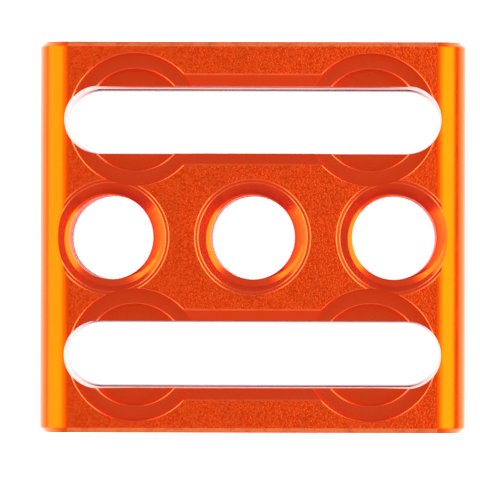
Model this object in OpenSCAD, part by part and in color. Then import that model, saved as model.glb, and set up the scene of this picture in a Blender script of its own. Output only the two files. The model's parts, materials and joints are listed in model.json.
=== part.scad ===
// Tripod riser block: one machined aluminium block with a row of tapped holes and two counterbored slots.
// The block lies flat with its worked face up. X runs along the slots and Y across them.
// The origin is the middle of the back face.

/* [Block] */
// Width of the block, along the slots
block_w = 41; // [38:0.5:60]
// Depth of the block, across the slots
block_d = 37.6; // [37.4:0.1:60]
// Thickness of the block, between its two large faces
block_t = 20; // [12:0.5:40]
// Radius of the four long edges
edge_r = 2.85; // [1:0.05:4]
// Chamfer round both ends
end_chamfer = 0.5; // [0.1:0.05:0.7]

/* [Slots] */
// Width of each slot, clear of a quarter inch screw
slot_w = 6.5; // [5.5:0.1:8]
// Wall left between the end of a slot and the side of the block
slot_end_wall = 2.4; // [1.5:0.1:4]
// Width of the bevel along a slot, between its counterbores
slot_bevel = 1.1; // [0.2:0.1:1.5]
// Depth of that bevel
slot_bevel_depth = 0.85; // [0.2:0.05:1.4]
// Edge break round a slot on the back face
slot_back_break = 0.3; // [0.1:0.05:0.6]

/* [Counterbores] */
// Diameter of the deep counterbore, clear of a screw head
head_bore_d = 9.8; // [9:0.1:11]
// Depth of the deep counterbore from the worked face
head_bore_depth = 5; // [3.5:0.1:8]
// Diameter of the shallow counterbore, clear of a washer
washer_bore_d = 12.7; // [11.5:0.1:13.2]
// Depth of the shallow counterbore from the worked face
washer_bore_depth = 2.2; // [1.6:0.1:3]
// Wall left between a counterbore and the end of the block
bore_end_wall = 1.15; // [0.8:0.05:1.4]
// Distance from the end of a slot to the middle of its counterbore
bore_setback = 6.8; // [5.5:0.1:9]

/* [Tapped holes] */
// Diameter of the bore, inside the thread for a three-eighths inch screw
tap_bore_d = 8.1; // [7.8:0.05:8.2]
// Distance from one turn of the thread to the next, 16 turns to an inch
thread_pitch = 1.5875; // [1.25:0.0125:2]
// Depth of the thread, outward from the bore
thread_depth = 0.85; // [0.4:0.05:0.9]
// Width of the flat at the bottom of the thread
thread_flat = 0.1; // [0.05:0.05:0.15]
// Wall left between an outer tapped hole and the side of the block
hole_side_wall = 2.85; // [2.2:0.05:4]
// Radial width of the right-angled countersink at both mouths
sink_w = 1.1; // [0.7:0.05:1.2]
// Radial width of the shallow bevel round the countersink, on the worked face
rim_w = 0.45; // [0.2:0.05:0.7]
// Depth of the shallow bevel
rim_depth = 0.09; // [0.05:0.01:0.3]

/* [Hidden] */
$fn = 96;

// How far a cut runs out past the face it starts from
cut_out = 1;

// Half the length of a slot
slot_reach = block_w / 2 - slot_end_wall;
// Middle line of a slot, from the middle of the block
slot_y = block_d / 2 - bore_end_wall - washer_bore_d / 2;
// Middle of a counterbore along its slot
bore_x = slot_reach - bore_setback;
// Middle of an outer tapped hole
hole_x = block_w / 2 - hole_side_wall - tap_bore_d / 2;
// Middle of the round end of a slot
slot_end_x = slot_reach - slot_w / 2;

// Radii of a tapped hole: its bore, its thread, its countersink and the shallow bevel
tap_r = tap_bore_d / 2;
thread_r = tap_r + thread_depth;
sink_r = tap_r + sink_w;
rim_r = sink_r + rim_w;
// Angle of the thread's flanks to the level
flank_angle = 30;
// Half the width of a thread groove at the bore
groove_half = thread_flat / 2 + thread_depth * tan(flank_angle);
// Grooves that fit between the middle of the block and a countersink
groove_steps = floor((block_t / 2 - rim_depth - sink_w - groove_half) / thread_pitch);

// Rectangle with its four corners cut at 45 degrees, lower left corner at (x, y)
module cut_corner_rectangle(x, y, w, h, cut) {
    polygon([
        [x + cut, y],
        [x + w - cut, y],
        [x + w, y + cut],
        [x + w, y + h - cut],
        [x + w - cut, y + h],
        [x + cut, y + h],
        [x, y + h - cut],
        [x, y + cut]
    ]);
}

// Extrudes a shape drawn in Y and Z along X, to both sides of the middle
module along_x(length) {
    rotate([90, 0, 90])
        linear_extrude(height = length, center = true)
            children();
}

// One rounded long edge, a round bar along Y with chamfered ends
module edge_bar() {
    half = block_d / 2;
    rotate([-90, 0, 0])
        rotate_extrude()
            polygon([
                [0, -half],
                [edge_r - end_chamfer, -half],
                [edge_r, end_chamfer - half],
                [edge_r, half - end_chamfer],
                [edge_r - end_chamfer, half],
                [0, half]
            ]);
}

// The blank: a bar with rounded long edges, cut to length and chamfered round both ends
module blank() {
    along_x(block_w - 2 * edge_r)
        cut_corner_rectangle(-block_d / 2, 0, block_d, block_t, end_chamfer);
    translate([0, 0, edge_r])
        linear_extrude(height = block_t - 2 * edge_r)
            cut_corner_rectangle(-block_w / 2, -block_d / 2, block_w, block_d, end_chamfer);
    for (side = [-1, 1])
        for (z = [edge_r, block_t - edge_r])
            translate([side * (block_w / 2 - edge_r), 0, z])
                edge_bar();
}

// Cut of a slot with round ends, right through the block
module slot_cut() {
    height = block_t + 2 * cut_out;
    translate([-slot_end_x, -slot_w / 2, -cut_out])
        cube([2 * slot_end_x, slot_w, height]);
    for (side = [-1, 1])
        translate([side * slot_end_x, 0, -cut_out])
            cylinder(d = slot_w, h = height);
}

// Cut of the bevel along a slot, from one counterbore to the other
module slot_bevel_cut() {
    half = slot_w / 2;
    wide = half + slot_bevel * (1 + cut_out / slot_bevel_depth);
    along_x(2 * bore_x)
        polygon([
            [-half, block_t - slot_bevel_depth],
            [half, block_t - slot_bevel_depth],
            [wide, block_t + cut_out],
            [-wide, block_t + cut_out]
        ]);
}

// Cut of the edge break round a slot on the back face
module slot_back_cut() {
    half = slot_w / 2;
    wide = half + slot_back_break + cut_out;
    along_x(2 * slot_end_x)
        polygon([
            [-wide, -cut_out],
            [wide, -cut_out],
            [half, slot_back_break],
            [-half, slot_back_break]
        ]);
    for (side = [-1, 1])
        translate([side * slot_end_x, 0, -cut_out])
            cylinder(r1 = wide, r2 = half, h = slot_back_break + cut_out);
}

// Cut of a bore of the given diameter and depth, down from the worked face
module counterbore_cut(d, depth) {
    translate([0, 0, block_t - depth])
        cylinder(d = d, h = depth + cut_out);
}

// Everything cut for one slot, with the two-step counterbores near its ends
module counterbored_slot_cut() {
    slot_cut();
    slot_bevel_cut();
    slot_back_cut();
    for (side = [-1, 1])
        translate([side * bore_x, 0, 0]) {
            counterbore_cut(head_bore_d, head_bore_depth);
            counterbore_cut(washer_bore_d, washer_bore_depth);
        }
}

// Outline of one groove of the thread at height z, from its lower edge to its upper edge
function groove_outline(z) = [
    [tap_r, z - groove_half],
    [thread_r, z - thread_flat / 2],
    [thread_r, z + thread_flat / 2],
    [tap_r, z + groove_half]
];

// Cut of one tapped hole, countersunk at both mouths, with each turn of its thread as a level groove
module tapped_hole_cut() {
    sink_top = block_t - rim_depth;
    back_mouth = [[0, -cut_out], [sink_r, -cut_out], [sink_r, 0], [tap_r, sink_w]];
    grooves = [
        for (step = [-groove_steps : groove_steps])
            each groove_outline(block_t / 2 + step * thread_pitch)
    ];
    front_mouth = [
        [tap_r, sink_top - sink_w],
        [sink_r, sink_top],
        [rim_r, block_t],
        [rim_r, block_t + cut_out],
        [0, block_t + cut_out]
    ];
    rotate_extrude()
        polygon(concat(back_mouth, grooves, front_mouth));
}

module riser_block() {
    color([0.85, 0.27, 0.06])
        difference() {
            blank();
            for (side = [-1, 1])
                translate([0, side * slot_y, 0])
                    counterbored_slot_cut();
            for (x = [-hole_x, 0, hole_x])
                translate([x, 0, 0])
                    tapped_hole_cut();
        }
}

riser_block();
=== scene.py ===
"""Tripod riser block: one anodised aluminium block with threaded holes and counterbored slots.

The block is cut the way a machinist would cut it: a bar with rounded long edges, less a cutter for
the row of tapped holes and a cutter for the pair of counterbored slots.
"""

import json
import math

import bmesh
import bpy
from bpy.props import FloatProperty, FloatVectorProperty, IntProperty, PointerProperty
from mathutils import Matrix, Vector


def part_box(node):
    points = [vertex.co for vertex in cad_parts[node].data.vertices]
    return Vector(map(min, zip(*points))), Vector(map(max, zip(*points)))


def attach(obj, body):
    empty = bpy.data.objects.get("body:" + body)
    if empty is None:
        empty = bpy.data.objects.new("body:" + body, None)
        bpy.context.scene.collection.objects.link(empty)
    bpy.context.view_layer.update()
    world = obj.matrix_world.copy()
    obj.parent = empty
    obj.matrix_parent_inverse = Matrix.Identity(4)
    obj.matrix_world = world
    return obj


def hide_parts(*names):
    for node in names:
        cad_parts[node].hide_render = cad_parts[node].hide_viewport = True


bl_info = {
    "name": "Tripod riser block",
    "version": (1, 0, 0),
    "blender": (4, 5, 0),
    "location": "3D View > Sidebar > Riser",
    "description": "Builds an anodised riser block with threaded holes and counterbored slots",
    "category": "Add Mesh",
}

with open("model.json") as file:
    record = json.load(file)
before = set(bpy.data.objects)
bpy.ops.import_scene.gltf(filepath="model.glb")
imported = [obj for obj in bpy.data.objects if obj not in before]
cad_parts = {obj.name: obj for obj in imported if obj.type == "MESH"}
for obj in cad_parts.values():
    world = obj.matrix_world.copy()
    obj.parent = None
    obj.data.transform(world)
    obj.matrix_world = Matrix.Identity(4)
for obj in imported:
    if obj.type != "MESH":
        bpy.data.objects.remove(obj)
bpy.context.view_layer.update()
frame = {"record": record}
NODE = "riser_block"
MM = 0.001

# How far a cutter runs out past the face it starts from
PAST = 1 * MM
# How far the cutters of one hole run into one another
OVERLAP = 0.6 * MM
# Width of the softened edge of an end chamfer, as a share of the chamfer
CHAMFER_SOFTENING = 0.12
# Where the bend of a broken edge lies, in widths of that edge
EDGE_BEND = 0.3
# How far a broken edge runs on past the worked face, and how far it rises there, in widths of that edge
RUN_OUT = 2
BORE_RISE = 0.43
BEVEL_RISE = 0.5
# Rounding from a bevel to a slot wall: share of its width and steepness of each step, from the bevel down
WALL_ROUND_STEPS = ((0.6, 1.8), (0.4, 4.0), (0.8, 8.0))
# Faces of the bar that lean at least this much along X take the drawn finish
DRAWN_LEAN = 0.02
# Faces of the bevel's cutter that lean more than this along X are its ends
BEVEL_END_LEAN = 0.5
# Upright lean of the broken edge among the faces of the bevel's cutter
BEVEL_EDGE_LEAN = (-0.97, -0.86)
# Angle of the thread's flanks to the level
FLANK_ANGLE = math.radians(30)
# Corners of the thread's outline in one turn
THREAD_CORNERS = 4
# Turns of the thread beyond those between its two ends
SPARE_TURNS = 3
# Distance at which points of the tap are joined
WELD = 0.0005 * MM
# Holes in the row
HOLES = 3
# Faces that meet at more than this angle have a sharp edge
SHARP_ANGLE = math.radians(12)
# How strongly large faces set the shading at an edge, from 1 to 100
LARGE_FACE_WEIGHT = 100
# How far the block may reach past the solid's box
SLACK = 0.001 * MM

# Mottle of the dyed film: its size, detail, depth, and share of the depth that goes to the roughness
MOTTLE_SIZE = 2.2 * MM
MOTTLE_DETAIL = 3.0
MOTTLE_DEPTH = 0.24
MOTTLE_ROUGHNESS = 0.3
# Tool marks: detail of the ridges, and the heights between which the mask rises
RIDGE_DETAIL = 2.0
RIDGE_LIMITS = (0.35, 0.65)
# Blasted grain: its detail, the heights between which a pit deepens, and its relief
GRAIN_DETAIL = 1.0
PIT_LIMITS = (0.58, 0.38)
GRAIN_RELIEF = 0.025 * MM
# Lines along the drawn sides: how height counts against width round the bar, spacing, strength and relief
GIRTH_LEAN = 0.7
DRAWN_SPACING = 0.25 * MM
DRAWN_STRENGTH = 0.12
DRAWN_RELIEF = 0.002 * MM
# Rings in the bores: spacing, strength and relief
RING_SPACING = 0.11 * MM
RING_STRENGTH = 0.18
RING_RELIEF = 0.003 * MM
# Part of a slot wall that is rougher and has a painted shade, a grey tint on its reflection: most upright
# lean of a wall, heights between which it sets in, and distances from the middle between which it ends
WALL_LEAN = 0.3
WALL_HEIGHTS = (5 * MM, 11 * MM)
WALL_ENDS = (12 * MM, 16 * MM)
# Wear of rubbed edges: size, detail, the heights between which colour is kept, most that is kept, and relief
WEAR_SIZE = 0.9 * MM
WEAR_DETAIL = 3.0
WEAR_LIMITS = (0.48, 0.72)
WEAR_KEPT = 0.5
WEAR_RELIEF = 0.004 * MM

# Distance of the softboxes from the block
LAMP_DISTANCE = 0.5
# Softboxes: name, azimuth, near edge, far edge and half width in degrees, and the setting of the brightness
SOFTBOXES = (
    ("left_softbox", 176, 27, 88, 40, "left_light"),
    ("left_fringe", 176, 15, 27, 40, "left_fringe"),
    ("right_softbox", 8, 22, 72, 34, "right_light"),
    ("right_fringe", 8, 11, 22, 34, "right_fringe"),
    ("front_softbox", -90, 12, 92, 40, "front_light"),
    ("front_band", -90, 36, 62, 40, "front_band"),
    ("back_softbox", 90, 40, 92, 40, "back_light"),
    ("top_softbox", 90, -10, 10, 10, "top_light"),
)
# Side of the floor, and its distance below the block
FLOOR_SIDE = 3.0
FLOOR_GAP = 0.02 * MM
# Contact shadow: samples, openness between which it clears, distances from the middle between which it
# fades along the slots, and how light it is there
SHADOW_SAMPLES = 16
SHADOW_LIMITS = (0.6, 1.0)
SHADOW_ENDS = (15.2 * MM, 18.0 * MM)
SHADOW_LEAST = 0.85
# Distances between which the floor dims away from the block, how much of it is left there, and its grey
FLOOR_FADE = (90 * MM, 220 * MM)
FLOOR_FAR = 0.15
FLOOR_GREY = 0.8
# Farthest distance the camera shows
CLIP_END = 10.0

low, high = (Vector(corner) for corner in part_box(NODE))
mounts = {mount["name"]: mount for mount in frame["record"]["mounts"]}
tapped = mounts["tapped_hole_right"]
slotted = mounts["screw_slot_rear"]


def length(name, description, default):
    """A size in metres that a user may change."""
    return FloatProperty(name=name, description=description, default=default, unit="LENGTH", precision=5)


def colour(name, description, default):
    """A colour that a user may change, in linear light."""
    return FloatVectorProperty(
        name=name, description=description, default=default, subtype="COLOR", size=3, min=0.0, max=1.0)


def share(name, description, default):
    """A plain number from 0 to 1."""
    return FloatProperty(
        name=name, description=description, default=default, subtype="FACTOR", min=0.0, max=1.0)


def brightness(name, description, default):
    """A light level, where 1 shows as white."""
    return FloatProperty(name=name, description=description, default=default, min=0.0)


class RiserSizes(bpy.types.PropertyGroup):
    """Sizes of the block. Its box and the places and bores of its slots and holes come from the solid."""
    width: length("Width", "Along the slots", high.x - low.x)
    depth: length("Depth", "Across the slots", high.y - low.y)
    thickness: length("Thickness", "Between the two large faces", high.z - low.z)
    edge_radius: length("Edge radius", "Radius of the four long edges", 2.85 * MM)
    end_chamfer: length("End chamfer", "Chamfer round both ends", 0.5 * MM)
    edge_break: length("Edge break", "Width of the bright line along a machined edge", 0.09 * MM)

    slot_y: length("Slot place", "Middle line of a slot from the middle of the block", slotted["pos_m"][1])
    slot_radius: length("Slot radius", "Half the width of a slot", slotted["dims"]["hole_r_mm"] * MM)
    slot_length: length("Slot length", "End to end", slotted["dims"]["slot_length_mm"] * MM)
    slot_bevel: length("Slot bevel", "Width of the bevel along a slot between its counterbores", 1.1 * MM)
    bevel_depth: length("Bevel depth", "Depth of that bevel", 0.85 * MM)
    wall_round: length("Wall round", "Width of the rounded edge from that bevel to the slot wall", 0.03 * MM)
    back_break: length("Back break", "Edge break round a slot on the back", 0.3 * MM)

    bore_x: length("Counterbore place", "Middle of a counterbore along its slot", 11.3 * MM)
    head_radius: length("Head bore radius", "Radius of the deep counterbore", 4.9 * MM)
    head_depth: length("Head bore depth", "Depth of the deep counterbore", 5.0 * MM)
    washer_radius: length("Washer bore radius", "Radius of the shallow counterbore", 6.35 * MM)
    washer_depth: length("Washer bore depth", "Depth of the shallow counterbore", 2.2 * MM)

    hole_pitch: length("Hole pitch", "Distance between tapped holes", tapped["pos_m"][0])
    tap_radius: length("Tap bore radius", "Radius inside the thread", tapped["dims"]["r_mm"] * MM)
    thread_radius: length("Thread radius", "Radius at the bottom of the thread", 4.9 * MM)
    thread_pitch: length("Thread pitch", "Rise of the thread in one turn", 25.4 / 16 * MM)
    thread_flat: length("Thread flat", "Flat at the bottom of the thread", 0.1 * MM)
    thread_turn: FloatProperty(
        name="Thread turn", description="Where round the hole the thread starts", default=math.radians(-100),
        subtype="ANGLE")
    sink_width: length("Countersink", "Radial width of the countersink", 1.16 * MM)
    sink_depth: length("Countersink depth", "Depth of the countersink", 1.1 * MM)
    rim_width: length("Rim width", "Radial width of the shallow bevel round it", 0.39 * MM)
    rim_depth: length("Rim depth", "Depth of the shallow bevel", 0.09 * MM)
    rim_line: length("Rim line", "Width of the bright line at both edges of the shallow bevel", 0.075 * MM)
    rim_low: length("Rim low", "Depth of the inner bright line's upper edge", 0.050 * MM)
    rim_high: length("Rim high", "Depth of the outer bright line's lower edge", 0.032 * MM)

    facets: IntProperty(name="Facets", description="Straight sides of a full circle", default=144, min=24)


class RiserFinish(bpy.types.PropertyGroup):
    """Colours and finish of the anodised surfaces."""
    orange: colour("Orange", "Colour of the drawn sides", (0.70, 0.062, 0.0006))
    blasted_orange: colour("Blasted orange", "Colour of the blasted faces", (0.745, 0.0708, 0.0084))
    bored_orange: colour("Bored orange", "Colour of bores, slots and threads", (0.80, 0.050, 0.0010))
    deep_orange: colour("Deep orange", "Colour in pits and tool marks", (0.66, 0.034, 0.0006))
    # Paler colour of the broken edges: partly their wear, partly a painted highlight along them
    wear_and_highlight_orange: colour("Pale orange", "Colour along rubbed edges", (0.80, 0.084, 0.0145))
    # The chamfers round both ends take a paler colour
    pallid_orange: colour("Worn orange", "Colour round the two worn ends", (1.0, 0.190, 0.042))
    # Painted shade: a grey tint that darkens the reflection on the upper part of the straight slot walls
    wall_shade_tint: colour(
        "Wall tint", "Tint of the upper part of the slot walls at a grazing angle", (0.42, 0.36, 0.34))
    blasted_roughness: share("Blasted roughness", "Roughness of the blasted faces", 0.23)
    drawn_roughness: share("Drawn roughness", "Roughness of the rounded sides", 0.25)
    bored_roughness: share("Bored roughness", "Roughness of bores, slots and threads", 0.18)
    wall_roughness: share("Wall roughness", "Roughness of the upper part of the slot walls", 0.5)
    rubbed_roughness: share("Rubbed roughness", "Roughness of rubbed edges", 0.20)
    film: share("Film", "Weight of the dull clear film on machined surfaces", 0.16)
    thin_film: share("Thin film", "Weight of the film on the blasted faces", 0.024)
    drawn_film: share("Drawn film", "Weight of the film on the drawn sides", 0.010)
    film_roughness: share("Film roughness", "Roughness of the film", 0.7)
    grain: length("Grain", "Size of the blasted grain", 0.17 * MM)


class RiserStage(bpy.types.PropertyGroup):
    """Camera, floor and light."""
    camera_height: length("Camera height", "Camera above the worked face", 0.95)
    camera_x: length("Camera X", "How far the camera stands to the right of the middle", 8.4 * MM)
    camera_y: length("Camera Y", "How far the camera stands behind the middle", -4.1 * MM)
    frame_width: length("Frame width", "Width of the picture at the sides of the block", 46.19 * MM)
    framing_x: FloatProperty(
        name="Framing X", description="Shift of the picture sideways, in frame widths", default=-0.0266)
    framing_y: FloatProperty(
        name="Framing Y", description="Shift of the picture upward, in frame widths", default=-0.0050)
    roll: FloatProperty(
        name="Roll", description="Roll of the camera", default=math.radians(0.13), subtype="ANGLE")
    left_light: brightness("Left light", "Brightness of the left softbox", 5.5)
    left_fringe: brightness("Left fringe", "Brightness of the dim inner part of the left softbox", 1.7)
    right_light: brightness("Right light", "Brightness of the right softbox", 6.6)
    right_fringe: brightness("Right fringe", "Brightness of the dim inner part of the right softbox", 2.0)
    front_light: brightness("Front light", "Brightness of the front softbox", 0.28)
    front_band: brightness("Front band", "Added brightness of the front softbox half way up", 0.25)
    back_light: brightness("Back light", "Brightness of the back softbox", 0.16)
    top_light: brightness("Top light", "Brightness of the softbox straight above", 0.09)
    room_light: brightness("Room light", "Brightness of the room all round", 0.58)
    floor_shine: brightness("Floor shine", "Brightness of the floor in reflections", 1.2)
    contact_shadow: length("Contact shadow", "Reach of the dark line on the floor along a wall", 0.46 * MM)


def feed(socket, value):
    """Links a socket to an input, or sets a plain value on it."""
    if isinstance(value, bpy.types.NodeSocket):
        socket.id_data.links.new(value, socket)
    elif value is not None:
        socket.default_value = value


def add(tree, kind, *values, **settings):
    """Adds a node with its settings, and feeds its visible inputs in order. None leaves an input alone."""
    node = tree.nodes.new(kind)
    for name, value in settings.items():
        setattr(node, name, value)
    visible = [socket for socket in node.inputs if socket.enabled and not socket.is_unavailable]
    for socket, value in zip(visible, values):
        feed(socket, value)
    return node


def calc(tree, operation, *values):
    """The result of one Math node."""
    return add(tree, "ShaderNodeMath", *values, operation=operation).outputs[0]


def choose(tree, factor, first, second):
    """first where factor is 0 and second where it is 1."""
    return add(tree, "ShaderNodeMix", factor, first, second, data_type="FLOAT").outputs[0]


def new_tree(name, kind, inputs, outputs):
    """A node tree with named inputs and outputs, given as (name, socket type)."""
    tree = bpy.data.node_groups.new(name, kind)
    for way, sockets in (("INPUT", inputs), ("OUTPUT", outputs)):
        for socket_name, socket_type in sockets:
            tree.interface.new_socket(socket_name, in_out=way, socket_type=socket_type)
    return tree, tree.nodes.new("NodeGroupInput").outputs, tree.nodes.new("NodeGroupOutput").inputs


def circle_ring(radius, z, facets):
    """Points of a level circle."""
    angles = [2 * math.pi * step / facets for step in range(facets)]
    return [Vector((radius * math.cos(a), radius * math.sin(a), z)) for a in angles]


def stadium_ring(straight, radius, z, facets):
    """Points of a level slot outline, with its straight sides along X."""
    half = facets // 2
    points = []
    for side, start in ((1, -math.pi / 2), (-1, math.pi / 2)):
        for step in range(half + 1):
            a = start + math.pi * step / half
            points.append(Vector((side * straight / 2 + radius * math.cos(a), radius * math.sin(a), z)))
    return points


def bar_ring(sizes, inset, y):
    """Points of an upright section of the bar, with rounded corners, drawn in by an inset."""
    radius = sizes.edge_radius - inset
    across = sizes.width / 2 - sizes.edge_radius
    corners = (
        (across, sizes.thickness - sizes.edge_radius, 0),
        (-across, sizes.thickness - sizes.edge_radius, 1),
        (-across, sizes.edge_radius, 2),
        (across, sizes.edge_radius, 3),
    )
    steps = sizes.facets // 4
    points = []
    for x, z, quarter in corners:
        for step in range(steps + 1):
            a = (quarter + step / steps) * math.pi / 2
            points.append(Vector((x + radius * math.cos(a), y, z + radius * math.sin(a))))
    return points


def loft(name, rings, materials, second=()):
    """A closed mesh object through rings of equal length, with a flat cap on each end.

    The bands whose numbers are in second take the second material.
    """
    mesh = bmesh.new()
    loops = [[mesh.verts.new(point) for point in ring] for ring in rings]
    for band, (lower, upper) in enumerate(zip(loops, loops[1:])):
        for here in range(len(lower)):
            after = (here + 1) % len(lower)
            face = mesh.faces.new((lower[here], lower[after], upper[after], upper[here]))
            face.material_index = int(band in second)
    mesh.faces.new(reversed(loops[0]))
    mesh.faces.new(loops[-1])
    bmesh.ops.recalc_face_normals(mesh, faces=mesh.faces)
    data = bpy.data.meshes.new(name)
    mesh.to_mesh(data)
    mesh.free()
    for material in materials:
        data.materials.append(material)
    made = bpy.data.objects.new(name, data)
    bpy.context.scene.collection.objects.link(made)
    return made


def blank_bar(sizes, finishes):
    """The bar: rounded long edges, both ends chamfered, drawn finish on its sides and blasted faces."""
    half = sizes.depth / 2
    chamfer = sizes.end_chamfer
    soft = CHAMFER_SOFTENING * chamfer
    bend = EDGE_BEND * soft
    over = [
        (0.0, half - chamfer - soft),
        (bend, half - chamfer + bend),
        (chamfer - bend, half - bend),
        (chamfer + soft, half),
    ]
    rings = [bar_ring(sizes, inset, -y) for inset, y in reversed(over)]
    rings += [bar_ring(sizes, inset, y) for inset, y in over]
    # Bands of the chamfers round both ends, which take a paler colour
    rubbed = {0, 1, 5, 6}
    bar = loft("riser_block_body", rings, [finishes["blasted"], finishes["worn"], finishes["drawn"]], rubbed)
    for face in bar.data.polygons:
        if abs(face.normal.x) > DRAWN_LEAN:
            face.material_index = 2
    return bar


def stepped_bore(sizes, finishes):
    """Cutter of a two-step counterbore, with both of its edges broken."""
    top = sizes.thickness
    ledge = top - sizes.washer_depth
    small = sizes.edge_break
    bend = EDGE_BEND * small
    run_out = RUN_OUT * small
    outline = [
        (sizes.head_radius, top - sizes.head_depth),
        (sizes.head_radius, ledge - small),
        (sizes.head_radius + bend, ledge - bend),
        (sizes.head_radius + small, ledge),
        (sizes.washer_radius, ledge),
        (sizes.washer_radius, top - small),
        (sizes.washer_radius + bend, top - bend),
        (sizes.washer_radius + run_out, top + BORE_RISE * small),
        (sizes.washer_radius + run_out, top + PAST),
    ]
    rings = [circle_ring(r, z, sizes.facets) for r, z in outline]
    return loft("counterbore_cutter", rings, [finishes["bored"], finishes["edge"]], {1, 2, 5, 6})


def slot_through(sizes, finishes):
    """Cutter of a slot with round ends, with its edge broken on the back."""
    straight = sizes.slot_length - 2 * sizes.slot_radius
    outline = [
        (sizes.slot_radius + sizes.back_break + PAST, -PAST),
        (sizes.slot_radius, sizes.back_break),
        (sizes.slot_radius, sizes.thickness + PAST),
    ]
    rings = [stadium_ring(straight, r, z, sizes.facets) for r, z in outline]
    return loft("slot_cutter", rings, [finishes["bored"], finishes["edge"]], {0})


def slot_bevel(sizes, finishes):
    """Cutter of the bevel along a slot, with a broken edge at the top and a rounded one at the wall."""
    top = sizes.thickness
    small = sizes.edge_break
    slope = sizes.bevel_depth / sizes.slot_bevel
    outer = sizes.slot_radius + sizes.slot_bevel
    half = [(sizes.slot_radius + sizes.wall_round, top - sizes.bevel_depth + slope * sizes.wall_round)]
    for share_of_round, steepness in WALL_ROUND_STEPS:
        y, z = half[0]
        step = share_of_round * sizes.wall_round
        half.insert(0, (y - step, z - steepness * step))
    half += [
        (outer - small, top - slope * small),
        (outer + RUN_OUT * small, top + BEVEL_RISE * small),
        (outer + RUN_OUT * small, top + PAST),
    ]
    section = half + [(-y, z) for y, z in reversed(half)]
    rings = [[Vector((x, y, z)) for y, z in section] for x in (-sizes.bore_x, sizes.bore_x)]
    bevel = loft("slot_bevel_cutter", rings, [finishes["bored"], finishes["edge"]])
    least, most = BEVEL_EDGE_LEAN
    for face in bevel.data.polygons:
        if abs(face.normal.x) < BEVEL_END_LEAN and least < face.normal.z < most:
            face.material_index = 1
    return bevel


def hole_mouth(sizes, finishes):
    """Cutter of a hole's mouth: the countersink, and the shallow bevel with a bright line at both edges."""
    top = sizes.thickness
    slope = sizes.sink_depth / sizes.sink_width
    sink = sizes.tap_radius + sizes.sink_width
    rim = sink + sizes.rim_width
    line = sizes.rim_line
    outline = [
        (sizes.tap_radius - OVERLAP, top - sizes.rim_depth - sizes.sink_depth - slope * OVERLAP),
        (sink, top - sizes.rim_depth),
        (sink + line, top - sizes.rim_low),
        (rim - line, top - sizes.rim_high),
        (rim + line, top + sizes.rim_high),
        (rim + line, top + OVERLAP),
    ]
    rings = [circle_ring(r, z, sizes.facets) for r, z in outline]
    return loft("mouth_cutter", rings, [finishes["bored"]])


NUMBER = "NodeSocketFloat"


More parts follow.
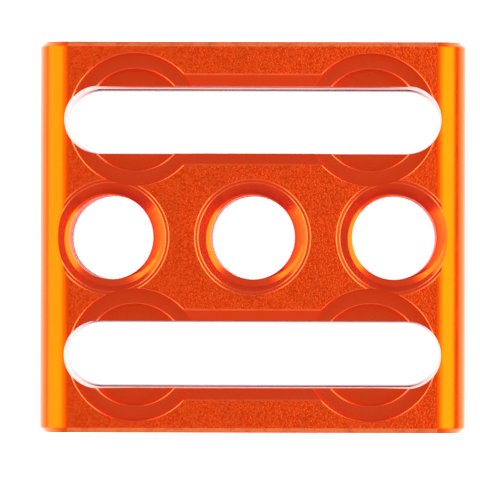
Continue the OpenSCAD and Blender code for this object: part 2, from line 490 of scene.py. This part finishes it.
def thread_group():
    """Geometry group of a tap: the space inside a threaded hole, with a right-hand thread."""
    numbers = ("Bore Radius", "Thread Radius", "Root Flat", "Pitch", "Turn", "Low", "High")
    inputs = [(name, NUMBER) for name in numbers]
    inputs += [("Facets", "NodeSocketInt")]
    outputs = [("Tap", "NodeSocketGeometry")]
    tree, given, result = new_tree("Threaded tap", "GeometryNodeTree", inputs, outputs)
    bore, outer, flat, pitch, turn, bottom, top, facets = (given[name] for name, kind in inputs)

    rise = calc(tree, "SUBTRACT", top, bottom)
    turns = calc(tree, "ADD", calc(tree, "CEIL", calc(tree, "DIVIDE", rise, pitch)), SPARE_TURNS)
    rows = calc(tree, "MULTIPLY", turns, THREAD_CORNERS)
    columns = calc(tree, "ADD", facets, 1.0)
    sheet = add(tree, "GeometryNodeMeshGrid", 1.0, 1.0, columns, calc(tree, "ADD", rows, 1.0)).outputs["Mesh"]

    place = add(tree, "ShaderNodeSeparateXYZ", add(tree, "GeometryNodeInputPosition").outputs[0]).outputs
    around = calc(tree, "ADD", place[0], 0.5)
    row = calc(tree, "ROUND", calc(tree, "MULTIPLY", calc(tree, "ADD", place[1], 0.5), rows))
    middle = (THREAD_CORNERS - 1) / 2
    corner = calc(tree, "SUBTRACT", calc(tree, "FLOORED_MODULO", row, THREAD_CORNERS), middle)
    # The two outer corners of each turn lie on the crest, the two inner ones at the root.
    on_crest = calc(tree, "GREATER_THAN", calc(tree, "ABSOLUTE", corner), 1.0)
    flank = calc(tree, "MULTIPLY", calc(tree, "SUBTRACT", outer, bore), math.tan(FLANK_ANGLE))
    root_half = calc(tree, "MULTIPLY", flat, 0.5)
    reach = choose(tree, on_crest, root_half, calc(tree, "ADD", root_half, flank))
    offset = calc(tree, "MULTIPLY", calc(tree, "SIGN", corner), reach)
    lap = calc(tree, "ADD", calc(tree, "FLOOR", calc(tree, "DIVIDE", row, THREAD_CORNERS)), around)
    start = calc(tree, "SUBTRACT", bottom, calc(tree, "MULTIPLY", pitch, SPARE_TURNS / 2))
    height = calc(tree, "ADD", calc(tree, "MULTIPLY_ADD", lap, pitch, start), offset)

    below = calc(tree, "LESS_THAN", height, bottom)
    outside = calc(tree, "MAXIMUM", below, calc(tree, "GREATER_THAN", height, top))
    radius = choose(tree, calc(tree, "MAXIMUM", on_crest, outside), outer, bore)
    level = calc(tree, "MINIMUM", calc(tree, "MAXIMUM", height, bottom), top)
    angle = calc(tree, "MULTIPLY_ADD", around, 2 * math.pi, turn)
    x = calc(tree, "MULTIPLY", radius, calc(tree, "COSINE", angle))
    y = calc(tree, "MULTIPLY", radius, calc(tree, "SINE", angle))
    wound = add(tree, "ShaderNodeCombineXYZ", x, y, level).outputs[0]
    helix = add(tree, "GeometryNodeSetPosition", sheet, None, wound)

    caps = []
    for height_of_cap, flipped in ((bottom, True), (top, False)):
        disc = add(tree, "GeometryNodeMeshCircle", facets, bore, fill_type="NGON").outputs[0]
        shift = add(tree, "ShaderNodeCombineXYZ", 0.0, 0.0, height_of_cap).outputs[0]
        spin = add(tree, "ShaderNodeCombineXYZ", 0.0, 0.0, turn).outputs[0]
        moved = add(tree, "GeometryNodeTransform")
        feed(moved.inputs["Geometry"], disc)
        feed(moved.inputs["Translation"], shift)
        feed(moved.inputs["Rotation"], spin)
        cap = moved.outputs[0]
        caps.append(add(tree, "GeometryNodeFlipFaces", cap).outputs[0] if flipped else cap)

    joined = add(tree, "GeometryNodeJoinGeometry")
    for part in (helix.outputs[0], *caps):
        feed(joined.inputs[0], part)
    welded = add(tree, "GeometryNodeMergeByDistance", joined.outputs[0])
    feed(welded.inputs["Distance"], WELD)
    feed(result[0], welded.outputs[0])
    return tree


def cone(tree, facets, low_radius, low_z, high_radius, high_z):
    """A capped cone between two levels."""
    height = calc(tree, "SUBTRACT", high_z, low_z)
    made = add(
        tree, "GeometryNodeMeshCone", facets, None, None, high_radius, low_radius, height, fill_type="NGON")
    moved = add(tree, "GeometryNodeTransform")
    feed(moved.inputs["Geometry"], made.outputs["Mesh"])
    feed(moved.inputs["Translation"], add(tree, "ShaderNodeCombineXYZ", 0.0, 0.0, low_z).outputs[0])
    return moved.outputs[0]


def tapped_holes_tree():
    """Geometry tree of the row of tapped holes: tap and countersinks, set at every hole."""
    inputs = [
        ("Bore Radius", NUMBER), ("Thread Radius", NUMBER), ("Root Flat", NUMBER), ("Pitch", NUMBER),
        ("Turn", NUMBER), ("Thickness", NUMBER), ("Sink Depth", NUMBER), ("Rim Depth", NUMBER),
        ("Rim Low", NUMBER), ("Rim High", NUMBER), ("Hole Pitch", NUMBER), ("Facets", "NodeSocketInt"),
        ("Mouth", "NodeSocketObject"),
        ("Finish", "NodeSocketMaterial"), ("Edge Finish", "NodeSocketMaterial"),
    ]
    outputs = [("Cutter", "NodeSocketGeometry")]
    tree, given, result = new_tree("Tapped holes", "GeometryNodeTree", inputs, outputs)
    bore, facets, thickness = given["Bore Radius"], given["Facets"], given["Thickness"]

    tap = tree.nodes.new("GeometryNodeGroup")
    tap.node_tree = thread_group()
    for name in ("Bore Radius", "Thread Radius", "Root Flat", "Pitch", "Turn", "Facets"):
        feed(tap.inputs[name], given[name])
    feed(tap.inputs["Low"], -OVERLAP)
    feed(tap.inputs["High"], calc(tree, "ADD", thickness, OVERLAP))

    # The countersink on the back leans 45 degrees, so it is as wide as it is deep.
    sink = given["Sink Depth"]
    inside = calc(tree, "SUBTRACT", bore, OVERLAP)
    outside = calc(tree, "ADD", calc(tree, "ADD", bore, sink), OVERLAP)
    back = cone(tree, facets, outside, -OVERLAP, inside, calc(tree, "ADD", sink, OVERLAP))
    front = add(tree, "GeometryNodeObjectInfo", given["Mouth"]).outputs["Geometry"]

    hole = add(tree, "GeometryNodeMeshBoolean", operation="UNION", solver="MANIFOLD")
    for part in (tap.outputs[0], front, back):
        feed(hole.inputs["Mesh 2"], part)
    step = add(tree, "ShaderNodeCombineXYZ", given["Hole Pitch"], 0.0, 0.0).outputs[0]
    first_x = calc(tree, "MULTIPLY", given["Hole Pitch"], (1 - HOLES) / 2)
    first = add(tree, "ShaderNodeCombineXYZ", first_x, 0.0, 0.0).outputs[0]
    row = add(tree, "GeometryNodeMeshLine", mode="OFFSET")
    feed(row.inputs["Count"], HOLES)
    feed(row.inputs["Start Location"], first)
    feed(row.inputs["Offset"], step)
    height = add(tree, "ShaderNodeSeparateXYZ", add(tree, "GeometryNodeInputPosition").outputs[0]).outputs[2]
    depth = calc(tree, "SUBTRACT", thickness, height)
    on_rim = calc(tree, "LESS_THAN", depth, given["Rim Depth"])
    inner = calc(tree, "GREATER_THAN", depth, given["Rim Low"])
    outer = calc(tree, "LESS_THAN", depth, given["Rim High"])
    # The rim's two bright lines take the edge finish, whose paler colour is partly a painted highlight
    edges = calc(tree, "MULTIPLY", on_rim, calc(tree, "MAXIMUM", inner, outer))
    finish_pattern(tree, hole.outputs[0], row.outputs[0], given, edges, result[0])
    return tree


def finish_pattern(tree, shape, points, given, edges, result):
    """Sets a shape at every point, makes it real, and finishes its edges apart from the rest of it."""
    placed = add(tree, "GeometryNodeInstanceOnPoints")
    feed(placed.inputs["Points"], points)
    feed(placed.inputs["Instance"], shape)
    real = add(tree, "GeometryNodeRealizeInstances", placed.outputs[0]).outputs[0]
    rest = add(tree, "FunctionNodeBooleanMath", edges, operation="NOT").outputs[0]
    finished = add(tree, "GeometryNodeSetMaterial", real, rest, given["Finish"]).outputs[0]
    feed(result, add(tree, "GeometryNodeSetMaterial", finished, edges, given["Edge Finish"]).outputs[0])


def slots_tree():
    """Geometry tree of the pair of slots: slot, bevel and two stepped counterbores, set at both slots."""
    inputs = [
        ("Slot", "NodeSocketObject"), ("Bevel", "NodeSocketObject"), ("Counterbore", "NodeSocketObject"),
        ("Counterbore Place", NUMBER), ("Slot Place", NUMBER), ("Finish", "NodeSocketMaterial"),
        ("Edge Finish", "NodeSocketMaterial"),
    ]
    outputs = [("Cutter", "NodeSocketGeometry")]
    tree, given, result = new_tree("Counterbored slots", "GeometryNodeTree", inputs, outputs)

    def pair(axis, distance):
        """Two points at plus and minus a distance along an axis."""
        ends = []
        for sign in (-1.0, 1.0):
            at = [0.0, 0.0, 0.0]
            at[axis] = calc(tree, "MULTIPLY", distance, sign)
            ends.append(add(tree, "ShaderNodeCombineXYZ", *at).outputs[0])
        line = add(tree, "GeometryNodeMeshLine", mode="END_POINTS")
        feed(line.inputs["Count"], 2)
        feed(line.inputs["Start Location"], ends[0])
        feed(line.inputs["Offset"], ends[1])
        return line.outputs[0]

    shapes = {name: add(tree, "GeometryNodeObjectInfo", given[name]).outputs["Geometry"]
              for name in ("Slot", "Bevel", "Counterbore")}
    bores = add(tree, "GeometryNodeInstanceOnPoints")
    feed(bores.inputs["Points"], pair(0, given["Counterbore Place"]))
    feed(bores.inputs["Instance"], shapes["Counterbore"])
    bores_real = add(tree, "GeometryNodeRealizeInstances", bores.outputs[0]).outputs[0]
    cutter = add(tree, "GeometryNodeMeshBoolean", operation="UNION", solver="MANIFOLD")
    for part in (shapes["Slot"], shapes["Bevel"], bores_real):
        feed(cutter.inputs["Mesh 2"], part)
    edges = add(tree, "GeometryNodeMaterialSelection", given["Edge Finish"]).outputs[0]
    finish_pattern(tree, cutter.outputs[0], pair(1, given["Slot Place"]), given, edges, result[0])
    return tree


def grown(name, tree, values):
    """A plain mesh object made by a geometry tree with the given inputs."""
    host = bpy.data.objects.new(name, bpy.data.meshes.new(name))
    bpy.context.scene.collection.objects.link(host)
    modifier = host.modifiers.new(name, "NODES")
    modifier.node_group = tree
    named = {item.name: item.identifier for item in tree.interface.items_tree if item.in_out == "INPUT"}
    for socket_name, value in values.items():
        modifier[named[socket_name]] = value
    bake(host)
    return host


def bake(made):
    """Turns an object with modifiers into a plain mesh."""
    depsgraph = bpy.context.evaluated_depsgraph_get()
    data = bpy.data.meshes.new_from_object(made.evaluated_get(depsgraph), depsgraph=depsgraph)
    made.modifiers.clear()
    made.data = data


def cut(block, cutter):
    """Takes a cutter away from the block and deletes the cutter."""
    modifier = block.modifiers.new(cutter.name, "BOOLEAN")
    modifier.operation = "DIFFERENCE"
    modifier.solver = "MANIFOLD"
    modifier.material_mode = "TRANSFER"
    modifier.object = cutter
    bake(block)
    bpy.data.objects.remove(cutter)


def shade(block):
    """Smooth shading that stays flat on the flat faces and breaks at true edges."""
    block.data.shade_smooth()
    block.data.set_sharp_from_angle(angle=SHARP_ANGLE)
    modifier = block.modifiers.new("Even shading", "WEIGHTED_NORMAL")
    modifier.keep_sharp = True
    modifier.weight = LARGE_FACE_WEIGHT
    bake(block)


def must_fit(block):
    """Raises if the block came out empty or reaches past the solid's box."""
    points = [vertex.co for vertex in block.data.vertices]
    if not points:
        raise RuntimeError("The block came out empty")
    for axis in range(3):
        along = [point[axis] for point in points]
        if min(along) < low[axis] - SLACK or max(along) > high[axis] + SLACK:
            raise RuntimeError("The block reaches past the solid's box")


def film_group():
    """Shader group of the dyed film that every surface has: an even colour with a faint mottle."""
    tree, given, result = new_tree(
        "Dyed film", "ShaderNodeTree",
        [("Place", "NodeSocketVector"), ("Colour", "NodeSocketColor"), ("Deep Colour", "NodeSocketColor"),
         ("Pits", "NodeSocketFloat"), ("Roughness", "NodeSocketFloat")],
        [("Colour", "NodeSocketColor"), ("Roughness", "NodeSocketFloat")])
    mottle = add(tree, "ShaderNodeTexNoise", given["Place"], noise_dimensions="3D")
    mottle.inputs["Scale"].default_value = 1 / MOTTLE_SIZE
    mottle.inputs["Detail"].default_value = MOTTLE_DETAIL
    drift = calc(tree, "MULTIPLY_ADD", mottle.outputs[0], MOTTLE_DEPTH, -MOTTLE_DEPTH / 2)
    depth = add(tree, "ShaderNodeMath", given["Pits"], drift, operation="ADD", use_clamp=True).outputs[0]
    dyed = add(tree, "ShaderNodeMix", depth, given["Colour"], given["Deep Colour"], data_type="RGBA")
    feed(result["Colour"], dyed.outputs["Result"])
    feed(result["Roughness"], calc(tree, "MULTIPLY_ADD", drift, MOTTLE_ROUGHNESS, given["Roughness"]))
    return tree


def marks_group():
    """Shader group of fine tool marks: ridges that follow one measure across the cut."""
    tree, given, result = new_tree(
        "Tool marks", "ShaderNodeTree",
        [("Across", "NodeSocketFloat"), ("Spacing", "NodeSocketFloat")],
        [("Height", "NodeSocketFloat"), ("Mask", "NodeSocketFloat")])
    step = calc(tree, "DIVIDE", given["Across"], given["Spacing"])
    ridges = add(tree, "ShaderNodeTexNoise", noise_dimensions="1D")
    feed(ridges.inputs["W"], step)
    ridges.inputs["Scale"].default_value = 1.0
    ridges.inputs["Detail"].default_value = RIDGE_DETAIL
    feed(result["Height"], ridges.outputs[0])
    feed(result["Mask"], add(
        tree, "ShaderNodeMapRange", ridges.outputs[0], *RIDGE_LIMITS, 0.0, 1.0).outputs[0])
    return tree


class Finishes:
    """The anodised finishes of the block, which share one film and one kind of tool mark."""

    def __init__(self, finish, sizes):
        self.finish = finish
        self.sizes = sizes
        self.film = film_group()
        self.marks = marks_group()

    def start(self, name, film):
        """A new material with its shader and the place on the block."""
        material = bpy.data.materials.new(name)
        material.use_nodes = True
        tree = material.node_tree
        shader = tree.nodes["Principled BSDF"]
        shader.inputs["Metallic"].default_value = 1.0
        shader.inputs["Coat Weight"].default_value = film
        shader.inputs["Coat Roughness"].default_value = self.finish.film_roughness
        return material, tree, shader, add(tree, "ShaderNodeTexCoord").outputs["Object"]

    def dye(self, tree, shader, place, base, pits, roughness):
        """Colours the metal with the shared film, deeper in its pits."""
        film = tree.nodes.new("ShaderNodeGroup")
        film.node_tree = self.film
        feed(film.inputs["Place"], place)
        film.inputs["Colour"].default_value = (*base, 1.0)
        film.inputs["Deep Colour"].default_value = (*self.finish.deep_orange, 1.0)
        feed(film.inputs["Pits"], pits)
        feed(film.inputs["Roughness"], roughness)
        feed(shader.inputs["Base Color"], film.outputs["Colour"])
        feed(shader.inputs["Roughness"], film.outputs["Roughness"])

    def relief(self, tree, shader, height, depth):
        """Gives the surface a fine relief."""
        bump = add(tree, "ShaderNodeBump")
        bump.inputs["Strength"].default_value = 1.0
        bump.inputs["Distance"].default_value = depth
        feed(bump.inputs["Height"], height)
        feed(shader.inputs["Normal"], bump.outputs[0])

    def tool_marks(self, tree, across, spacing):
        """Outputs of the shared tool marks, placed in a material."""
        marks = tree.nodes.new("ShaderNodeGroup")
        marks.node_tree = self.marks
        feed(marks.inputs["Across"], across)
        marks.inputs["Spacing"].default_value = spacing
        return marks.outputs

    def blasted(self):
        """Bead-blasted faces: fine pits and peaks that sparkle."""
        material, tree, shader, place = self.start("blasted_anodised", self.finish.thin_film)
        grain = add(tree, "ShaderNodeTexNoise", place, noise_dimensions="3D")
        grain.inputs["Scale"].default_value = 1 / self.finish.grain
        grain.inputs["Detail"].default_value = GRAIN_DETAIL
        pits = add(tree, "ShaderNodeMapRange", grain.outputs[0], *PIT_LIMITS, 0.0, 1.0).outputs[0]
        self.dye(tree, shader, place, self.finish.blasted_orange, pits, self.finish.blasted_roughness)
        self.relief(tree, shader, grain.outputs[0], GRAIN_RELIEF)
        return material

    def drawn(self):
        """Rounded sides: the bar as drawn, with faint lines along it."""
        material, tree, shader, place = self.start("drawn_anodised", self.finish.drawn_film)
        at = add(tree, "ShaderNodeSeparateXYZ", place).outputs
        girth = calc(tree, "MULTIPLY_ADD", at[2], GIRTH_LEAN, at[0])
        marks = self.tool_marks(tree, girth, DRAWN_SPACING)
        lines = calc(tree, "MULTIPLY", marks["Mask"], DRAWN_STRENGTH)
        self.dye(tree, shader, place, self.finish.orange, lines, self.finish.drawn_roughness)
        self.relief(tree, shader, marks["Height"], DRAWN_RELIEF)
        return material

    def bored(self):
        """Bores, slots and threads: faint rings about the nearest bore or hole, and slot walls above rougher,
        with painted shade.
        """
        material, tree, shader, place = self.start("bored_anodised", self.finish.film)
        at = add(tree, "ShaderNodeSeparateXYZ", place).outputs
        pitch = self.sizes.hole_pitch
        hole = calc(tree, "MULTIPLY", calc(tree, "ROUND", calc(tree, "DIVIDE", at[0], pitch)), pitch)
        from_hole = self.distance(tree, calc(tree, "SUBTRACT", at[0], hole), at[1])
        bore_x = calc(tree, "SUBTRACT", calc(tree, "ABSOLUTE", at[0]), self.sizes.bore_x)
        bore_y = calc(tree, "SUBTRACT", calc(tree, "ABSOLUTE", at[1]), self.sizes.slot_y)
        from_bore = self.distance(tree, bore_x, bore_y)
        rim = self.sizes.tap_radius + self.sizes.sink_width + self.sizes.rim_width
        beyond = calc(tree, "GREATER_THAN", from_hole, rim)
        marks = self.tool_marks(tree, choose(tree, beyond, from_hole, from_bore), RING_SPACING)
        rings = calc(tree, "MULTIPLY", marks["Mask"], RING_STRENGTH)
        # The upper part of the straight slot walls is rougher than the rest, with a painted shade: a grey
        # tint on its reflection.
        facing = add(tree, "ShaderNodeTexCoord").outputs["Normal"]
        upright = calc(tree, "ABSOLUTE", add(tree, "ShaderNodeSeparateXYZ", facing).outputs[2])
        on_wall = calc(tree, "LESS_THAN", upright, WALL_LEAN)
        in_slot = calc(tree, "GREATER_THAN", calc(tree, "ABSOLUTE", at[1]), rim)
        up = add(tree, "ShaderNodeMapRange", at[2], *WALL_HEIGHTS, 0.0, 1.0).outputs[0]
        along = calc(tree, "ABSOLUTE", at[0])
        straight = add(tree, "ShaderNodeMapRange", along, *WALL_ENDS, 1.0, 0.0).outputs[0]
        wall = calc(tree, "MULTIPLY", calc(tree, "MULTIPLY", on_wall, in_slot), straight)
        dull = calc(tree, "MULTIPLY", wall, up)
        clear = (1.0, 1.0, 1.0, 1.0)
        painted_shade_grey = (*self.finish.wall_shade_tint, 1.0)
        tint = add(tree, "ShaderNodeMix", dull, clear, painted_shade_grey, data_type="RGBA")
        feed(shader.inputs["Specular Tint"], tint.outputs["Result"])
        roughness = choose(tree, dull, self.finish.bored_roughness, self.finish.wall_roughness)
        self.dye(tree, shader, place, self.finish.bored_orange, rings, roughness)
        self.relief(tree, shader, marks["Height"], RING_RELIEF)
        return material

    def rubbed(self, name, paler, roughness):
        """Paler edges with random wear; on the broken edges the paler colour is partly a painted highlight.
        """
        material, tree, shader, place = self.start(name, self.finish.film)
        wear = add(tree, "ShaderNodeTexNoise", place, noise_dimensions="3D")
        wear.inputs["Scale"].default_value = 1 / WEAR_SIZE
        wear.inputs["Detail"].default_value = WEAR_DETAIL
        kept = add(tree, "ShaderNodeMapRange", wear.outputs[0], *WEAR_LIMITS, 0.0, WEAR_KEPT).outputs[0]
        self.dye(tree, shader, place, paler, kept, roughness)
        self.relief(tree, shader, wear.outputs[0], WEAR_RELIEF)
        return material

    def distance(self, tree, x, y):
        """Distance from an upright axis."""
        squares = calc(tree, "ADD", calc(tree, "MULTIPLY", x, x), calc(tree, "MULTIPLY", y, y))
        return calc(tree, "SQRT", squares)


class RISER_OT_block(bpy.types.Operator):
    """Builds the block from its bar and cutters, and finishes it"""
    bl_idname = "riser.block"
    bl_label = "Build riser block"

    def execute(self, context):
        sizes = context.scene.riser_sizes
        finish = context.scene.riser_finish
        shop = Finishes(finish, sizes)
        # The edge finish's paler colour is partly a painted highlight along the broken edges; the two ends
        # only take a paler colour
        finishes = {
            "blasted": shop.blasted(), "drawn": shop.drawn(), "bored": shop.bored(),
            "edge": shop.rubbed("edge_anodised", finish.wear_and_highlight_orange, finish.rubbed_roughness),
            "worn": shop.rubbed("worn_anodised", finish.pallid_orange, finish.bored_roughness)}
        block = blank_bar(sizes, finishes)
        finish_inputs = {"Finish": finishes["bored"], "Edge Finish": finishes["edge"]}
        parts = {
            "Slot": slot_through(sizes, finishes),
            "Bevel": slot_bevel(sizes, finishes),
            "Counterbore": stepped_bore(sizes, finishes)}
        slots = grown("slots_cutter", slots_tree(), {
            **parts, **finish_inputs, "Counterbore Place": sizes.bore_x, "Slot Place": sizes.slot_y})
        for part in parts.values():
            bpy.data.objects.remove(part)
        mouth = hole_mouth(sizes, finishes)
        holes = grown("holes_cutter", tapped_holes_tree(), {
            "Bore Radius": sizes.tap_radius, "Thread Radius": sizes.thread_radius,
            "Root Flat": sizes.thread_flat, "Pitch": sizes.thread_pitch,
            "Turn": sizes.thread_turn, "Thickness": sizes.thickness,
            "Sink Depth": sizes.sink_depth, "Rim Depth": sizes.rim_depth, "Rim Low": sizes.rim_low,
            "Rim High": sizes.rim_high, "Hole Pitch": sizes.hole_pitch, "Facets": sizes.facets,
            "Mouth": mouth, **finish_inputs})
        bpy.data.objects.remove(mouth)
        cut(block, slots)
        cut(block, holes)
        shade(block)
        must_fit(block)
        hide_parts(NODE)
        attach(block, "root")
        return {"FINISHED"}


def softbox(name, azimuth, near, far, half_width, level):
    """A large soft lamp that faces the block.

    Its near and far edges are angles off the upright, in degrees.
    """
    tilt = math.radians((near + far) / 2)
    round_to = math.radians(azimuth)
    lamp = bpy.data.lights.new(name, "AREA")
    lamp.shape = "RECTANGLE"
    lamp.size = 2 * LAMP_DISTANCE * math.tan(math.radians(half_width))
    lamp.size_y = 2 * LAMP_DISTANCE * math.tan(math.radians((far - near) / 2))
    lamp.energy = level * math.pi * lamp.size * lamp.size_y
    made = bpy.data.objects.new(name, lamp)
    out = math.sin(tilt)
    place = Vector((out * math.cos(round_to), out * math.sin(round_to), math.cos(tilt)))
    made.location = place * LAMP_DISTANCE
    made.rotation_euler = place.to_track_quat("Z", "Y").to_euler()
    made.visible_camera = False
    bpy.context.scene.collection.objects.link(made)


def floor_material(shine, contact):
    """White floor that darkens along a wall. In reflections it has its own level and dims far away."""
    material = bpy.data.materials.new("pale_floor")
    material.use_nodes = True
    tree = material.node_tree
    tree.nodes.clear()
    seen = add(tree, "ShaderNodeLightPath").outputs
    mirrored = calc(tree, "MAXIMUM", seen["Is Glossy Ray"], seen["Is Transmission Ray"])
    open_to = add(tree, "ShaderNodeAmbientOcclusion", samples=SHADOW_SAMPLES)
    open_to.inputs["Distance"].default_value = contact
    place = add(tree, "ShaderNodeTexCoord").outputs["Object"]
    sideways = calc(tree, "ABSOLUTE", add(tree, "ShaderNodeSeparateXYZ", place).outputs[0])
    deepest = add(tree, "ShaderNodeMapRange", sideways, *SHADOW_ENDS, 0.0, SHADOW_LEAST).outputs[0]
    bare = add(tree, "ShaderNodeMapRange", open_to.outputs["AO"], *SHADOW_LIMITS, deepest, 1.0).outputs[0]
    away = add(tree, "ShaderNodeVectorMath", place, operation="LENGTH")
    lit = add(tree, "ShaderNodeMapRange", away.outputs["Value"], *FLOOR_FADE, 1.0, FLOOR_FAR).outputs[0]
    grey = calc(tree, "MULTIPLY", calc(tree, "MULTIPLY", bare, lit), FLOOR_GREY)
    dyed = add(tree, "ShaderNodeCombineColor", grey, grey, grey).outputs[0]
    pale = add(tree, "ShaderNodeBsdfDiffuse", dyed).outputs[0]
    in_mirror = calc(tree, "MULTIPLY", calc(tree, "MULTIPLY", mirrored, lit), shine)
    shown = choose(tree, seen["Is Camera Ray"], in_mirror, 1.0)
    glow = calc(tree, "MULTIPLY", bare, shown)
    white = add(tree, "ShaderNodeEmission", (1.0, 1.0, 1.0, 1.0), glow).outputs[0]
    both = add(tree, "ShaderNodeAddShader", pale, white).outputs[0]
    out = add(tree, "ShaderNodeOutputMaterial")
    feed(out.inputs["Surface"], both)
    return material


class RISER_OT_stage(bpy.types.Operator):
    """Sets the floor, the soft light and the camera above the block"""
    bl_idname = "riser.stage"
    bl_label = "Set the stage"

    def execute(self, context):
        sizes = context.scene.riser_sizes
        stage = context.scene.riser_stage
        scene = context.scene

        bpy.ops.mesh.primitive_plane_add(size=FLOOR_SIDE, location=(0.0, 0.0, -FLOOR_GAP))
        floor = context.object
        floor.name = "floor"
        floor.data.materials.append(floor_material(stage.floor_shine, stage.contact_shadow))

        for name, azimuth, near, far, half_width, setting in SOFTBOXES:
            softbox(name, azimuth, near, far, half_width, getattr(stage, setting))

        world = bpy.data.worlds.new("studio")
        scene.world = world
        world.use_nodes = True
        tree = world.node_tree
        seen = add(tree, "ShaderNodeLightPath").outputs["Is Camera Ray"]
        room = tree.nodes["Background"]
        room.inputs["Color"].default_value = (1.0, 1.0, 1.0, 1.0)
        feed(room.inputs["Strength"], choose(tree, seen, stage.room_light, 1.0))

        lens = bpy.data.cameras.new("camera")
        reach = stage.camera_height + sizes.edge_radius
        lens.lens = lens.sensor_width * reach / stage.frame_width
        lens.shift_x = stage.framing_x
        lens.shift_y = stage.framing_y
        lens.clip_end = CLIP_END
        camera = bpy.data.objects.new("camera", lens)
        aim = Vector((0.0, 0.0, sizes.thickness - sizes.edge_radius))
        camera.location = aim + Vector((stage.camera_x, stage.camera_y, reach))
        tilt_x = math.atan2(-stage.camera_y, reach)
        tilt_y = math.atan2(stage.camera_x, reach)
        camera.rotation_euler = (tilt_x, tilt_y, stage.roll)
        scene.collection.objects.link(camera)
        scene.camera = camera
        scene.view_settings.view_transform = "Standard"
        return {"FINISHED"}


class RISER_PT_panel(bpy.types.Panel):
    """Lists the sizes, the finish, the stage and the steps"""
    bl_idname = "RISER_PT_panel"
    bl_label = "Riser block"
    bl_space_type = "VIEW_3D"
    bl_region_type = "UI"
    bl_category = "Riser"

    def draw(self, context):
        for group in (context.scene.riser_sizes, context.scene.riser_finish, context.scene.riser_stage):
            box = self.layout.box()
            for name in group.__annotations__:
                box.prop(group, name)
        for operator in (RISER_OT_block, RISER_OT_stage):
            self.layout.operator(operator.bl_idname)


CLASSES = (RiserSizes, RiserFinish, RiserStage, RISER_OT_block, RISER_OT_stage, RISER_PT_panel)


def register():
    for each in CLASSES:
        bpy.utils.register_class(each)
    bpy.types.Scene.riser_sizes = PointerProperty(type=RiserSizes)
    bpy.types.Scene.riser_finish = PointerProperty(type=RiserFinish)
    bpy.types.Scene.riser_stage = PointerProperty(type=RiserStage)


def unregister():
    del bpy.types.Scene.riser_stage
    del bpy.types.Scene.riser_finish
    del bpy.types.Scene.riser_sizes
    for each in reversed(CLASSES):
        bpy.utils.unregister_class(each)


def main():
    register()
    bpy.ops.riser.block()
    bpy.ops.riser.stage()


if __name__ == "__main__":
    main()
